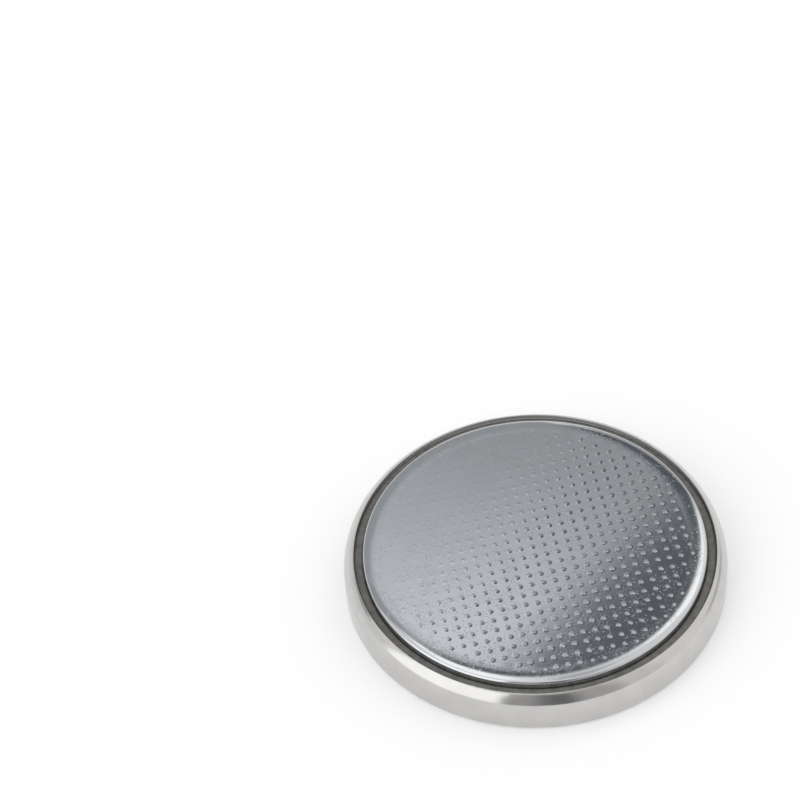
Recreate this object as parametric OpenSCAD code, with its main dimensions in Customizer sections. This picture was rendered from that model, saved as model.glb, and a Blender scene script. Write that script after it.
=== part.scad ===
// Lithium coin cell of the flat 20 mm size, lying on the can's flat face with the cap up.
// The origin is the middle of the can's flat face and +Z runs along the cell's axis.
// Every round section is drawn in the XY plane, X as radius and Y as height, and then turned.

/* [Cell] */
// Diameter over the can
cell_d = 20; // [18:0.1:24.5]
// Height from the can's flat face to the bump tops
cell_h = 2.5; // [2.3:0.05:3.4]

/* [Can] */
// Thickness of the can's steel
can_wall = 0.25; // [0.18:0.01:0.3]
// Outside radius of the can's lower corner
can_corner_r = 0.25; // [0.15:0.05:0.45]
// Outside radius of the rolled crimp
crimp_r = 1.1; // [0.9:0.05:1.2]
// Angle through which the crimp turns inward, in degrees
crimp_turn = 60; // [54:1:66]
// How far the crimp's lip lies below the bump tops
lip_drop = 0.24; // [0.16:0.01:0.32]

/* [Polarity mark] */
// Distance from the can's edge to the middle of the plus sign
mark_inset = 4.25; // [3:0.25:6]
// Length of each stroke of the plus sign
mark_span = 4.25; // [2:0.25:5]
// Width of each stroke
mark_w = 0.3; // [0.2:0.05:0.6]
// Depth to which the strokes are cut
mark_depth = 0.02; // [0.01:0.005:0.05]

/* [Cap] */
// Thickness of the cap's steel
cap_wall = 0.25; // [0.18:0.01:0.25]
// Width of the ring groove between the cap and the lip
groove_w = 0.35; // [0.3:0.01:0.45]
// Width of the brow, from the flat of the plate to the cap's side
brow_w = 0.6; // [0.5:0.02:0.7]
// Outside radius in which the brow falls from the flat
brow_r = 1.2; // [1:0.1:2]
// Outside radius of the shoulder between the brow and the cap's side
shoulder_r = 0.25; // [0.25:0.01:0.35]
// Height from the cap's step up to its plate
step_drop = 0.8; // [0.7:0.02:0.9]
// Outside radius of the bend from the step to the skirt
skirt_bend_r = 0.28; // [0.2:0.01:0.3]
// Radius in the corner between the cap's side and its step
step_corner_r = 0.1; // [0.06:0.01:0.12]

/* [Bumps] */
// Distance between neighbouring bumps
bump_pitch = 0.61; // [0.56:0.01:0.9]
// Diameter of a bump
bump_d = 0.38; // [0.2:0.02:0.5]
// Height of a bump above the plate
bump_h = 0.03; // [0.02:0.005:0.06]
// Width of the plain belt between the bumps and the cap's edge
bump_belt = 0.95; // [0.85:0.05:1.6]
// Angle between the rows of bumps and the X axis, in degrees
bump_turn = 12; // [0:1:45]

/* [Gasket] */
// Thickness of the gasket's outer wall
gasket_wall = 0.25; // [0.2:0.01:0.28]
// Height of the gasket's foot under the skirt
foot_h = 0.3; // [0.2:0.02:0.4]
// Thickness of the gasket's inner wall
inner_wall = 0.25; // [0.15:0.01:0.3]
// Height of the gasket's inner wall above the foot
inner_wall_h = 0.5; // [0.2:0.05:0.6]
// Radius on the gasket's top edge beside the cap
gasket_edge_r = 0.12; // [0.06:0.01:0.16]
// How far the gasket's top lies below the lip's inner corner
gasket_recess = 0.015; // [0:0.005:0.04]

/* [Collector mesh] */
// Thickness of the collector's mesh
mesh_t = 0.1; // [0.06:0.01:0.14]
// Long spacing of the diamond openings
mesh_long = 2.4; // [2:0.1:3]
// Short spacing of the diamond openings
mesh_short = 1.5; // [1.2:0.1:2]
// Width of the strands between the openings
mesh_strand = 0.24; // [0.15:0.01:0.35]
// Width of the whole rim around the openings
mesh_rim = 0.3; // [0.2:0.05:0.6]
// How far the collector stays inside the pellet's edge
mesh_margin = 0.4; // [0:0.05:0.8]

/* [Electrodes] */
// Gap between the pellet and the gasket
pellet_gap = 0.75; // [0.4:0.05:1.2]
// Thickness of the separator
separator_t = 0.2; // [0.1:0.01:0.25]
// Gap between the separator and the cap's wall
separator_gap = 0.2; // [0.1:0.05:0.4]
// Thickness of the lithium disc
anode_t = 0.5; // [0.3:0.02:0.6]
// Gap between the lithium disc and the cap's wall
anode_gap = 0.8; // [0.4:0.05:1.4]

/* [Hidden] */
$fn = 128;

// Sides of a bump, which is too small for a round one to show
bump_sides = 5;
// How deep a bump is rooted in the plate
bump_root = 0.05;
// Where the nearest bump stands, as a share of the pitch from the cap's axis
bump_start = [-0.22, -0.16];
// How far a cut runs past the face that it opens
past = 0.1;

// Can
can_r = cell_d/2;
can_inner_r = can_r - can_wall;
lip_z = cell_h - lip_drop;
crimp_x = can_r - crimp_r;
crimp_z = lip_z - crimp_r*sin(crimp_turn);
lip_r = crimp_x + crimp_r*cos(crimp_turn);
lip_inner_z = crimp_z + (crimp_r - can_wall)*sin(crimp_turn);
mark_y = can_r - mark_inset;

// Cap
cap_r = lip_r - groove_w;
cap_inner_r = cap_r - cap_wall;
plate_z = cell_h - bump_h;
flat_r = cap_r - brow_w;
shoulder_x = cap_r - shoulder_r;
brow_turn = asin((shoulder_x - flat_r)/(brow_r - shoulder_r));
shoulder_z = plate_z - brow_r + (brow_r - shoulder_r)*cos(brow_turn);
step_z = plate_z - step_drop;
skirt_r = can_inner_r - gasket_wall;
skirt_inner_r = skirt_r - cap_wall;
skirt_z = can_wall + foot_h;
field_r = cap_r - bump_belt;
bump_reach = ceil(field_r/bump_pitch) + 1;

// Gasket
gasket_inner_r = skirt_inner_r - inner_wall;
gasket_top = lip_inner_z - gasket_recess;

// Stack of discs, from the can's floor up to the cap's plate
pellet_r = gasket_inner_r - pellet_gap;
mesh_r = pellet_r - mesh_margin;
pellet_z = can_wall + mesh_t;
anode_z = plate_z - cap_wall - anode_t;
separator_z = anode_z - separator_t;
opening_r = mesh_r - mesh_rim;
mesh_columns = ceil(opening_r/mesh_long) + 1;
mesh_rows = ceil(opening_r/mesh_short) + 1;

// Rectangle between two opposite corners, in radius and height
module block(low, high) {
    translate(low)
        square(high - low);
}

// Slice of a disc from the X axis round to an angle under 90 degrees
module slice(middle, r, turn) {
    translate(middle)
        intersection() {
            circle(r);
            polygon([[0, 0], [2*r, 0], [2*r, 2*r*tan(turn)]]);
        }
}

// Half section of everything within the can, at a depth below its outer skin
module can_section(inset) {
    corner = max(can_corner_r - inset, 0);
    side = can_r - inset;
    block([0, inset], [side - corner, crimp_z]);
    block([0, inset + corner], [side, crimp_z]);
    if (corner > 0)
        translate([side - corner, inset + corner])
            circle(corner);
    slice([crimp_x, crimp_z], crimp_r - inset, crimp_turn);
}

// Half section of everything under the cap's plate, brow and side, at a depth below its outer skin
module crown_section(inset) {
    brow_edge = flat_r + (brow_r - inset)*sin(brow_turn);
    block([0, 0], [flat_r, plate_z - inset]);
    block([0, 0], [cap_r - inset, shoulder_z]);
    intersection() {
        translate([flat_r, plate_z - brow_r])
            circle(brow_r - inset);
        block([flat_r, plate_z - brow_r], [brow_edge, plate_z]);
    }
    if (inset < shoulder_r)
        translate([shoulder_x, shoulder_z])
            circle(shoulder_r - inset);
}

// Half section of everything under the cap's step and skirt, at a depth below its outer skin
module skirt_section(inset) {
    bend = max(skirt_bend_r - inset, 0);
    side = skirt_r - inset;
    face = step_z - inset;
    block([0, 0], [side - bend, face]);
    block([0, 0], [side, face - bend]);
    if (bend > 0)
        translate([side - bend, face - bend])
            circle(bend);
}

// Half section of everything under the cap, at a depth below its outer skin
module cap_section(inset) {
    crown_section(inset);
    skirt_section(inset);
    difference() {
        block([cap_inner_r, step_z - inset], [cap_r + step_corner_r, step_z + step_corner_r]);
        translate([cap_r + step_corner_r, step_z + step_corner_r])
            circle(step_corner_r + inset);
    }
}

module plus_sign() {
    square([mark_span, mark_w], center = true);
    square([mark_w, mark_span], center = true);
}

module positive_can() {
    color("#c9c8c5")
        difference() {
            rotate_extrude()
                difference() {
                    can_section(0);
                    can_section(can_wall);
                }
            translate([0, mark_y, -past])
                linear_extrude(mark_depth + past)
                    plus_sign();
        }
}

module bumps() {
    for (row = [-bump_reach:bump_reach], column = [-bump_reach:bump_reach]) {
        place = bump_pitch*[column + bump_start[0], row + bump_start[1]];
        if (norm(place) < field_r)
            translate(place)
                circle(bump_d/2, $fn = bump_sides);
    }
}

module negative_cap() {
    color("#b2b5b8") {
        rotate_extrude()
            difference() {
                cap_section(0);
                cap_section(cap_wall);
                block([0, -past], [can_r, skirt_z]);
            }
        translate([0, 0, plate_z - bump_root])
            rotate(bump_turn)
                linear_extrude(bump_root + bump_h)
                    bumps();
    }
}

// The gasket fills what the cap leaves free inside the can, up to its own rounded top edge
module sealing_gasket() {
    color("#3d4242")
        rotate_extrude()
            difference() {
                union() {
                    block([gasket_inner_r, can_wall], [skirt_r, skirt_z]);
                    block([gasket_inner_r, can_wall], [skirt_inner_r, skirt_z + inner_wall_h]);
                    intersection() {
                        can_section(can_wall);
                        block([skirt_r, can_wall], [can_r, crimp_z]);
                    }
                    intersection() {
                        translate([crimp_x, crimp_z])
                            circle(crimp_r - can_wall);
                        block([cap_r, crimp_z], [can_r, gasket_top]);
                    }
                }
                difference() {
                    cap_section(0);
                    block([0, -past], [can_r, skirt_z]);
                    block([0, -past], [skirt_inner_r, skirt_z + inner_wall_h]);
                }
                difference() {
                    block(
                        [cap_r - past, gasket_top - gasket_edge_r],
                        [cap_r + gasket_edge_r, gasket_top + past]
                    );
                    translate([cap_r + gasket_edge_r, gasket_top - gasket_edge_r])
                        circle(gasket_edge_r);
                }
            }
}

module diamond() {
    long_half = (mesh_long - mesh_strand)/2;
    short_half = (mesh_short - mesh_strand)/2;
    polygon([[long_half, 0], [0, short_half], [-long_half, 0], [0, -short_half]]);
}

module diamonds() {
    for (row = [-mesh_rows:mesh_rows], column = [-mesh_columns:mesh_columns], stagger = [0, 0.5]) {
        place = [(column + stagger)*mesh_long, (row + stagger)*mesh_short];
        if (norm(place) + mesh_long/2 < opening_r)
            translate(place)
                diamond();
    }
}

module cathode_collector() {
    color("#9a9d9f")
        translate([0, 0, can_wall])
            linear_extrude(mesh_t)
                difference() {
                    circle(mesh_r);
                    diamonds();
                }
}

module cathode_pellet() {
    color("#26272a")
        translate([0, 0, pellet_z])
            cylinder(h = separator_z - pellet_z, r = pellet_r);
}

module separator() {
    color("#f1f0ea")
        translate([0, 0, separator_z])
            cylinder(h = separator_t, r = cap_inner_r - separator_gap);
}

module lithium_anode() {
    color("#c3c5c4")
        translate([0, 0, anode_z])
            cylinder(h = anode_t, r = cap_inner_r - anode_gap);
}

positive_can();
sealing_gasket();
negative_cap();
cathode_collector();
cathode_pellet();
separator();
lithium_anode();
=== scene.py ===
"""A lithium coin cell lying on its can, with the bumpy cap up.

Every class keeps its sizes in millimetres and hands its mesh over in metres, in the frame of
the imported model: the origin is the middle of the can's flat face and +Z runs along the axis.
The three outer pieces are surfaces of revolution, carried round the axis as whole arrays.
The cap's plate is a square pattern of bump cells laid into such a surface.
"""

import logging
from dataclasses import dataclass, field
from enum import Enum
from typing import Any, Callable, Union

import bpy
import numpy as np
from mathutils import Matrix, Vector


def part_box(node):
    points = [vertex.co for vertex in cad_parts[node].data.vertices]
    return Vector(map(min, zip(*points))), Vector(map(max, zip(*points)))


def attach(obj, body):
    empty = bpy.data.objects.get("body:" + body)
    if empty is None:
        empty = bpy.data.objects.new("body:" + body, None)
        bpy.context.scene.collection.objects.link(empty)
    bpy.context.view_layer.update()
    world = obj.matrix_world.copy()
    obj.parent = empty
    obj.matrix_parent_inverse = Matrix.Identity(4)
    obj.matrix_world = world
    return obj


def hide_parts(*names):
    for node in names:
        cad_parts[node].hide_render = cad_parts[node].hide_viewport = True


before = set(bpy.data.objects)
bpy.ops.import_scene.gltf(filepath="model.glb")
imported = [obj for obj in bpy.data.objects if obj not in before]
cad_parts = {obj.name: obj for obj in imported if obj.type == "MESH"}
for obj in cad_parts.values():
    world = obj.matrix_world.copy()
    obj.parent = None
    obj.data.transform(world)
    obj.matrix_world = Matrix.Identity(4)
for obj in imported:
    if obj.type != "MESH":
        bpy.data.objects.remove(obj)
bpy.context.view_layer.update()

LOG = logging.getLogger("coin_cell")
MM = 0.001
WELD_DIGITS = 6
TINY = 1e-9
BODY = "root"
SEED = 20


class Slot(Enum):
    """Names of the record's material slots, passed along with each piece's finish but not read.
    """

    CAN = "can_steel"
    CAP = "cap_steel"
    GASKET = "gasket_plastic"
    MESH = "mesh_steel"
    PELLET = "pellet_black"
    FELT = "separator_felt"
    LITHIUM = "lithium_metal"


class Turn(Enum):
    """The way in which an arc of a section runs round its centre."""

    LEFT = 1
    RIGHT = -1


# Layout that shapes and finishes share


@dataclass(frozen=True)
class BumpRows:
    """The square pattern of bumps on the cap's plate.

    Attributes:
        pitch: Distance between neighbouring bumps.
        turn: Angle of their rows, in degrees.
        start: Place of the nearest bump, as a share of the pitch.
        field_r: Radius within which bumps stand.
        slant: Factors of x and of -y in the slant, the line across the plate along which
            the bumps grow and on which the graded card ends.
        lead: How much x alone must exceed that line to count in its place.
    """

    pitch: float = 0.61
    turn: float = 12.0
    start: tuple[float, float] = (-0.22, -0.16)
    field_r: float = 8.15
    slant: tuple[float, float] = (0.817, 0.577)
    lead: float = 3.9


@dataclass(frozen=True)
class PlusMark:
    """The plus sign on the can's flat face.

    Attributes:
        y: Place of its middle.
        span: Length of its strokes.
        width: Width of its strokes.
        depth: How deep they are cut.
    """

    y: float = 5.75
    span: float = 4.25
    width: float = 0.3
    depth: float = 0.02


ROWS = BumpRows()
MARK = PlusMark()


# Surfaces


@dataclass
class Surface:
    """A mesh as loose faces in millimetres.

    A corner is six numbers: its own place and then its own normal.

    Attributes:
        quads: The four-sided faces, one row of four corners each.
        triangles: The triangles, one row of three corners each.
    """

    quads: np.ndarray = field(default_factory=lambda: np.zeros((0, 4, 6)))
    triangles: np.ndarray = field(default_factory=lambda: np.zeros((0, 3, 6)))

    def __add__(self, other: "Surface") -> "Surface":
        """Both surfaces as one."""
        return Surface(
            np.concatenate([self.quads, other.quads]),
            np.concatenate([self.triangles, other.triangles]),
        )

    def piece(self, name: str, finish: "Finish", slot: Slot, *nodes: str) -> bpy.types.Object:
        """Welds the faces into one mesh object that stands for its CAD nodes.

        Corners whose places agree to a millionth of a millimetre become one vertex, and the
        corner normals are kept as they were computed.

        Args:
            name: The piece's name.
            finish: What its surface is made of.
            slot: The record's slot for that finish; not used.
            nodes: The CAD nodes it replaces.

        Returns:
            The object, riding on the cell's body.
        """
        corners = np.concatenate([self.quads.reshape(-1, 6), self.triangles.reshape(-1, 6)])
        rounded = np.round(corners[:, :3], WELD_DIGITS) + 0.0
        places, which = np.unique(rounded, axis=0, return_inverse=True)
        which = which.ravel()
        split = 4 * len(self.quads)
        faces = which[:split].reshape(-1, 4).tolist() + which[split:].reshape(-1, 3).tolist()
        mesh = bpy.data.meshes.new(name)
        mesh.from_pydata((places * MM).tolist(), [], faces)
        mesh.polygons.foreach_set("use_smooth", np.ones(len(faces), bool))
        mesh.normals_split_custom_set(corners[:, 3:].tolist())
        mesh.update()
        made = bpy.data.objects.new(name, mesh)
        bpy.context.scene.collection.objects.link(made)
        mesh.materials.append(finish.material())
        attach(made, BODY)
        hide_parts(*nodes)
        triangles = 2 * len(self.quads) + len(self.triangles)
        LOG.info("%s: %d vertices, %d triangles", name, len(places), triangles)
        return made


@dataclass
class Section:
    """A line in the half plane of radius and height, followed by its runs and arcs.

    It goes round the material with the outside on its right, so it runs outwards along an
    underside, up an outer wall and inwards along a top.

    Attributes:
        ends: The two ends of each short stretch of the line, as (radius, height).
        normals: The outward normal at each of those ends.
    """

    ends: list[np.ndarray] = field(default_factory=list)
    normals: list[np.ndarray] = field(default_factory=list)

    def run(self, *points: tuple[float, float]) -> "Section":
        """Adds straight stretches through the points; a normal is the way turned right."""
        line = np.array(points, float)
        ways = np.diff(line, axis=0)
        ways /= np.linalg.norm(ways, axis=1, keepdims=True)
        outward = np.stack([ways[:, 1], -ways[:, 0]], axis=1)
        self.ends.append(np.stack([line[:-1], line[1:]], axis=1))
        self.normals.append(np.stack([outward, outward], axis=1))
        return self

    def arc(
        self,
        centre: tuple[float, float],
        radius: float,
        start: float,
        end: float,
        steps: int,
        turn: Turn = Turn.LEFT,
    ) -> "Section":
        """Adds an arc: centre plus radius times (cosine, sine) of the angle.

        The normal points away from the centre on an arc that turns left, and to the centre
        on one that turns right.

        Args:
            centre: The arc's centre.
            radius: Its radius.
            start: The angle where it starts, in degrees.
            end: The angle where it ends, in degrees.
            steps: How many stretches it gets.
            turn: The way it turns.

        Returns:
            This section.
        """
        angles = np.radians(np.linspace(start, end, steps + 1))
        spokes = np.stack([np.cos(angles), np.sin(angles)], axis=1)
        line = np.array(centre) + radius * spokes
        outward = spokes * turn.value
        self.ends.append(np.stack([line[:-1], line[1:]], axis=1))
        self.normals.append(np.stack([outward[:-1], outward[1:]], axis=1))
        return self

    def turned(self, angles: np.ndarray) -> Surface:
        """Carries the line round the axis.

        A point is (radius cosine angle, radius sine angle, height) for each end of each
        stretch and each angle, and the stretches that touch the axis close in triangles.

        Args:
            angles: The angles, rising, in radians; the last one joins the first.

        Returns:
            The surface of revolution.
        """
        ends = np.concatenate(self.ends)
        normals = np.concatenate(self.normals)
        spokes = np.stack([np.cos(angles), np.sin(angles)], axis=1)

        def carried(flat: np.ndarray) -> np.ndarray:
            round_part = flat[:, None, :1] * spokes[None]
            height = np.broadcast_to(flat[:, None, 1:], round_part.shape[:2] + (1,))
            return np.concatenate([round_part, height], axis=2)

        def faces(two_ends: np.ndarray) -> np.ndarray:
            near, far = carried(two_ends[:, 0]), carried(two_ends[:, 1])
            around = (near, np.roll(near, -1, 1), np.roll(far, -1, 1), far)
            return np.stack(around, axis=2)

        joined = np.concatenate([faces(ends), faces(normals)], axis=-1)
        from_axis, to_axis = ends[:, 0, 0] < TINY, ends[:, 1, 0] < TINY
        fans = joined[from_axis][:, :, [0, 2, 3]], joined[to_axis][:, :, [0, 1, 2]]
        return Surface(
            joined[~(from_axis | to_axis)].reshape(-1, 4, 6),
            np.concatenate([fan.reshape(-1, 3, 6) for fan in fans]),
        )


def after(rows: np.ndarray) -> np.ndarray:
    """Each row's follower; the last one's is the first."""
    return np.roll(rows, -1, axis=0)


def even_turn(count: int) -> np.ndarray:
    """Angles of equal steps over a full turn, in radians."""
    return np.linspace(0, 2 * np.pi, count, endpoint=False)


# Materials


def math_method(operation: str, reflected: bool = False) -> Callable[..., "Wire"]:
    """A method of Wire that adds a Math node.

    Args:
        operation: What the node does.
        reflected: Whether the wire is the second of its two values.

    Returns:
        The method.
    """

    def method(self: "Wire", *others: "Number") -> "Wire":
        values = (*others, self) if reflected else (self, *others)
        inputs = dict(enumerate(values))
        return self.board.wire("ShaderNodeMath", {"operation": operation}, inputs)

    return method


@dataclass
class Wire:
    """One output socket, on which sums are written as Python expressions."""

    board: "Board"
    socket: bpy.types.NodeSocket

    __add__ = __radd__ = math_method("ADD")
    __mul__ = __rmul__ = math_method("MULTIPLY")
    __sub__ = math_method("SUBTRACT")
    __rsub__ = math_method("SUBTRACT", reflected=True)
    __truediv__ = math_method("DIVIDE")
    __pow__ = math_method("POWER")
    __abs__ = math_method("ABSOLUTE")
    over = math_method("MAXIMUM")
    under = math_method("MINIMUM")
    rounded = math_method("ROUND")
    exponential = math_method("EXPONENT")
    arcsine = math_method("ARCSINE")
    arccosine = math_method("ARCCOSINE")

    def rise(self, low: float, high: float) -> "Wire":
        """A smooth step from 0 at low to 1 at high."""
        return self.board.wire(
            "ShaderNodeMapRange",
            {"interpolation_type": "SMOOTHSTEP"},
            {"Value": self, "From Min": low, "From Max": high},
            "Result",
        )

    def between(self, low: float, high: float, soft: float) -> "Wire":
        """1 from low to high and 0 outside, with soft edges of that half width."""
        return self.rise(low - soft, low + soft) * (1 - self.rise(high - soft, high + soft))


Number = Union[Wire, float]
Colour = tuple[float, float, float]


class Board:
    """A node tree that is built up from nodes and wires."""

    def __init__(self, tree: bpy.types.NodeTree) -> None:
        """Clears the tree.

        Args:
            tree: The tree to build in.
        """
        self.tree = tree
        tree.nodes.clear()

    def node(self, kind: str, settings: dict[str, Any], inputs: dict[Any, Any]) -> bpy.types.Node:
        """Adds a node.

        Args:
            kind: The node's type.
            settings: Its own settings, set first.
            inputs: Its sockets by name or number, each with a wire or a plain value.

        Returns:
            The node.
        """
        made = self.tree.nodes.new(kind)
        for name, value in settings.items():
            setattr(made, name, value)
        for key, value in inputs.items():
            if isinstance(value, Wire):
                self.tree.links.new(value.socket, made.inputs[key])
            elif isinstance(value, tuple) and len(value) == 3 and made.inputs[key].type == "RGBA":
                made.inputs[key].default_value = (*value, 1.0)
            else:
                made.inputs[key].default_value = value
        return made

    def wire(
        self, kind: str, settings: dict[str, Any], inputs: dict[Any, Any], output: Any = 0
    ) -> Wire:
        """Adds a node and returns one of its outputs."""
        return Wire(self, self.node(kind, settings, inputs).outputs[output])

    def split(self, vector: Wire) -> tuple[Wire, Wire, Wire]:
        """A vector's three parts."""
        node = self.node("ShaderNodeSeparateXYZ", {}, {0: vector})
        return tuple(Wire(self, node.outputs[k]) for k in range(3))

    def place(self) -> Wire:
        """The piece's own coordinates, in millimetres."""
        raw = self.wire("ShaderNodeTexCoord", {}, {}, "Object")
        return self.stretched(raw, (1 / MM, 1 / MM, 1 / MM))

    def stretched(self, vector: Wire, factors: Colour) -> Wire:
        """A vector whose parts are multiplied by these factors."""
        settings = {"operation": "MULTIPLY"}
        return self.wire("ShaderNodeVectorMath", settings, {0: vector, 1: factors})

    def noise(self, place: Wire, grain: float, detail: float = 3.0, rough: float = 0.6) -> Wire:
        """Smooth noise from 0 to 1 whose features are about grain across."""
        inputs = {"Vector": place, "Scale": 1 / grain, "Detail": detail, "Roughness": rough}
        return self.wire("ShaderNodeTexNoise", {}, inputs)

    def cells(self, place: Wire, grain: float) -> Wire:
        """The distance to the nearest of scattered points about grain apart."""
        return self.wire("ShaderNodeTexVoronoi", {}, {"Vector": place, "Scale": 1 / grain})

    def mixed(self, share: Number, low: Union[Wire, Colour], high: Union[Wire, Colour]) -> Wire:
        """A colour between two, low at share 0 and high at share 1."""
        inputs = {0: share, 6: low, 7: high}
        return self.wire("ShaderNodeMix", {"data_type": "RGBA"}, inputs, 2)

    def joined(self, x: Number, y: Number, z: Number) -> Wire:
        """A vector, or a colour, from its three parts."""
        return self.wire("ShaderNodeCombineXYZ", {}, {0: x, 1: y, 2: z})

    def close(self, shader: Wire, kind: str) -> None:
        """Wires a shader to the tree's output node."""
        self.node(kind, {}, {"Surface": shader})


@dataclass(frozen=True)
class Finish:
    """A material with the fields that every finish has.

    Attributes:
        name: The material's name.
        colour: Its base colour, linear.
        metal: Its metallic share.
        roughness: Its roughness before any variation.
    """

    name: str
    colour: Colour
    metal: float
    roughness: float

    def material(self) -> bpy.types.Material:
        """Builds the material."""
        made = bpy.data.materials.new(self.name)
        made.use_nodes = True
        board = Board(made.node_tree)
        colour, roughness, relief = self.pattern(board, board.place())
        inputs = {
            "Base Color": colour,
            "Roughness": roughness,
            "Metallic": self.metal,
            "Normal": board.wire("ShaderNodeBump", {}, {"Distance": 1.0, "Height": relief * MM}),
        }
        shader = board.wire("ShaderNodeBsdfPrincipled", {}, inputs)
        board.close(shader, "ShaderNodeOutputMaterial")
        return made

    def toned(self, board: Board, noise: Wire, dark: float, light: float) -> Wire:
        """The base colour times dark to light, as the noise goes through its middle range."""
        low, high = (tuple(factor * part for part in self.colour) for factor in (dark, light))
        return board.mixed(noise.rise(0.3, 0.7), low, high)

    def pattern(self, board: Board, place: Wire) -> tuple[Wire, Wire, Wire]:
        """The finish's own colour, roughness and relief.

        Args:
            board: The tree to build in.
            place: The coordinates in millimetres.

        Returns:
            The colour, the roughness, and the relief in millimetres.
        """
        raise NotImplementedError


@dataclass(frozen=True)
class CapSteel(Finish):
    """Bright steel of the cap, roughened where the press stretched it.

    The sheet is nearly a mirror between the bumps. Each bump's body and the belt round the
    pattern are matt and mottled, and small matt specks are scattered between them.

    Attributes:
        matt: Roughness added on the stretched places.
        body: Radii between which a bump's matt body ends.
        last: Distances past the field between which the bodies end.
        fray: Size of the noise that frays the bodies, and how far it moves their edge.
        faint: Slants between which the bodies grow, and their least share.
        belt: Inner and outer radius of the mottled belt.
        belt_soft: Half width of its soft edges.
        blotch: Size of the belt's matt blotches, and their share of the matt.
        speck: Size of the specks and of their groups, and their share of the matt.
        mottle: Size and height of the belt's dimples.
        grain: Size and height of the fine grain.
        rough_h: Height of the matt places' own relief.
        cloud: Size of the faint clouds, and their share of the roughness.
    """

    matt: float = 0.32
    body: tuple[float, float] = (0.06, 0.13)
    last: tuple[float, float] = (0.1, 0.25)
    fray: tuple[float, float] = (0.08, 0.2)
    faint: tuple[float, float, float] = (-1.0, 5.0, 0.05)
    belt: tuple[float, float] = (8.1, 8.56)
    belt_soft: float = 0.18
    blotch: tuple[float, float] = (0.3, 0.2)
    speck: tuple[float, float, float] = (0.1, 0.9, 0.8)
    mottle: tuple[float, float] = (0.11, 0.003)
    grain: tuple[float, float] = (0.075, 0.00045)
    rough_h: float = 0.0014
    cloud: tuple[float, float] = (1.4, 0.01)

    def bodies(self, x: Wire, y: Wire, radius: Wire, uneven: Wire) -> Wire:
        """1 on the bumps' bodies.

        The place is turned into the rows' frame and counted in pitches from the nearest
        bump. What is left after rounding is the offset from the nearest bump's middle.

        Args:
            x: Place along X.
            y: Place along Y.
            radius: Distance from the axis.
            uneven: Noise that frays the bodies' edges.

        Returns:
            The mask.
        """
        angle = np.radians(ROWS.turn)
        cosine, sine = float(np.cos(angle)), float(np.sin(angle))
        column = (x * cosine + y * sine) / ROWS.pitch - ROWS.start[0]
        row = (y * cosine - x * sine) / ROWS.pitch - ROWS.start[1]
        column, row = column - column.rounded(), row - row.rounded()
        offset = (column * column + row * row) ** 0.5 * ROWS.pitch
        reach = offset + (uneven - 0.5) * self.fray[1]
        inside = 1 - radius.rise(*(ROWS.field_r + part for part in self.last))
        slant = (x * ROWS.slant[0] - y * ROWS.slant[1]).over(x - ROWS.lead)
        low, high, least = self.faint
        grown = slant.rise(low, high) * (1 - least) + least
        return (1 - reach.rise(*self.body)) * inside * grown

    def pattern(self, board: Board, place: Wire) -> tuple[Wire, Wire, Wire]:
        """Steel that is matt on the bumps, in the belt and in specks; see Finish."""
        x, y, _ = board.split(place)
        radius = (x * x + y * y) ** 0.5
        uneven = board.noise(place, self.fray[0])
        belt = radius.between(*self.belt, self.belt_soft)
        blotches = board.noise(place, self.blotch[0]).rise(0.38, 0.62) * self.blotch[1]
        speck_size, group_size, speck_share = self.speck
        groups = board.noise(place, group_size, 2.0, 0.5).rise(0.42, 0.55)
        specks = board.noise(place, speck_size).rise(0.58, 0.65) * groups * speck_share
        matt = self.bodies(x, y, radius, uneven).over(belt * blotches).over(specks)
        mottle = board.noise(place, self.mottle[0]) * self.mottle[1]
        grain = board.noise(place, self.grain[0], 2.0) * self.grain[1]
        relief = grain + mottle * belt + uneven * matt * self.rough_h
        cloud = board.noise(place, self.cloud[0])
        roughness = self.roughness + self.matt * matt + self.cloud[1] * cloud
        return self.toned(board, cloud, 0.98, 1.015), roughness, relief


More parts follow.
